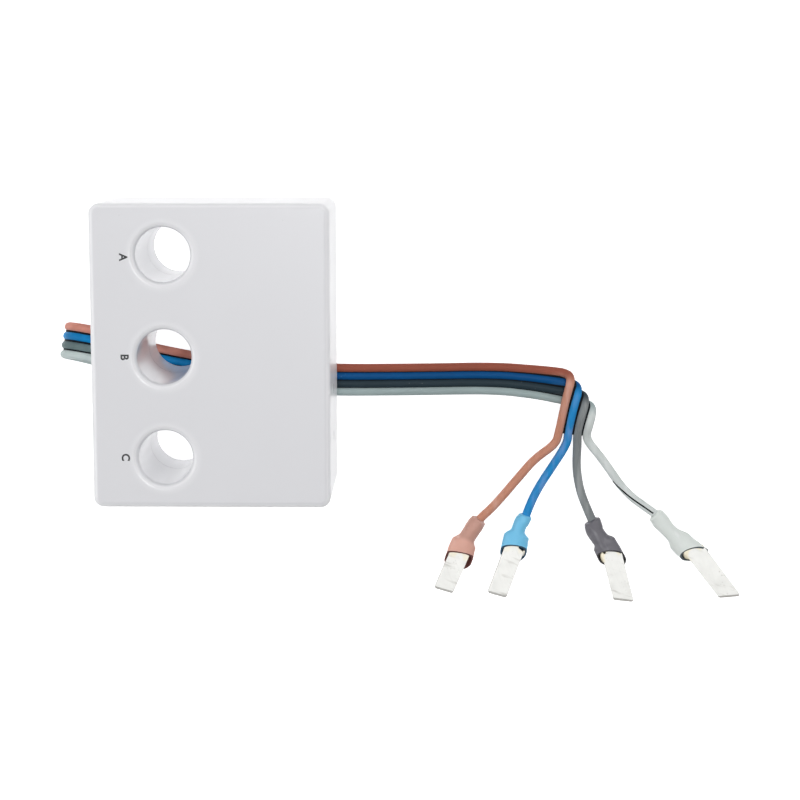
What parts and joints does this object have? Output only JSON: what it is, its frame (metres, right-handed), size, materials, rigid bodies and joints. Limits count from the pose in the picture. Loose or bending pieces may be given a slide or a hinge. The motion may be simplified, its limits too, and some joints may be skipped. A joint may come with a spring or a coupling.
{
  "type": "smart three-phase energy meter",
  "caption": "Flat box with through-bores for phase wires, a side push button, and a folded flat cord whose cores end in sleeved flat blades.",
  "frame": {"origin": "middle of the centre bore, half way through the case", "axes": "+Z out of the front face along the bores, +Y along the row of bores towards phase A, +X across the face towards the side with the push button"},
  "size_m": [0.1271, 0.0765, 0.0278],
  "materials": {
    "white_case": "satin",
    "white_button": "satin",
    "clear_plastic": "frosted",
    "black_plastic": "matte",
    "circuit_board": "satin",
    "tinned_metal": "satin",
    "ceramic": "matte",
    "core_steel": "matte",
    "winding_wire": "satin",
    "ferrite": "matte",
    "capacitor_can": "satin",
    "varistor_coat": "satin",
    "insulation_brown": "satin",
    "insulation_blue": "satin",
    "insulation_black": "satin",
    "insulation_grey": "satin",
    "sleeve_brown": "satin",
    "sleeve_blue": "satin",
    "sleeve_black": "satin",
    "sleeve_grey": "satin",
    "blade_tin": "satin"
  },
  "bodies": {
    "case": {"front_housing": "white_case", "rear_cover": "white_case", "light_pipe": "clear_plastic", "switch_body": "black_plastic", "main_board": "circuit_board", "radio_board": "circuit_board", "board_header": "black_plastic", "radio_shield": "tinned_metal", "antenna": "ceramic", "status_light": "clear_plastic", "wire_clamp": "black_plastic", "solder_lugs": "tinned_metal", "ct_carrier": "black_plastic", "ct_core_a": "core_steel", "ct_core_b": "core_steel", "ct_core_c": "core_steel", "ct_winding_a": "winding_wire", "ct_winding_b": "winding_wire", "ct_winding_c": "winding_wire", "transformer_core": "ferrite", "transformer_winding": "winding_wire", "filter_inductor": "ferrite", "bulk_capacitors": "capacitor_can", "output_capacitor": "capacitor_can", "bridge_rectifier": "black_plastic", "input_resistors": "ceramic", "varistors": "varistor_coat", "metering_chip": "black_plastic", "crystal": "tinned_metal", "divider_resistors": "black_plastic", "core_brown": "insulation_brown", "core_blue": "insulation_blue", "core_black": "insulation_black", "core_grey": "insulation_grey", "sleeve_brown": "sleeve_brown", "sleeve_blue": "sleeve_blue", "sleeve_black": "sleeve_black", "sleeve_grey": "sleeve_grey", "blade_brown": "blade_tin", "blade_blue": "blade_tin", "blade_black": "blade_tin", "blade_grey": "blade_tin"},
    "button": {"push_button": "white_button"},
    "plunger": {"switch_plunger": "black_plastic"}
  },
  "joints": [
    {"name": "button_press", "type": "slide", "parent": "case", "child": "button", "axis": [-1, 0, 0], "range_m": [0, 0.0003], "stiffness_N_per_m": 600},
    {"name": "plunger_press", "type": "slide", "parent": "case", "child": "plunger", "axis": [-1, 0, 0], "range_m": [0, 0.0003]}
  ],
  "couplings": [
    {"joint": "plunger_press", "follows": "button_press", "ratio": 1}
  ]
}
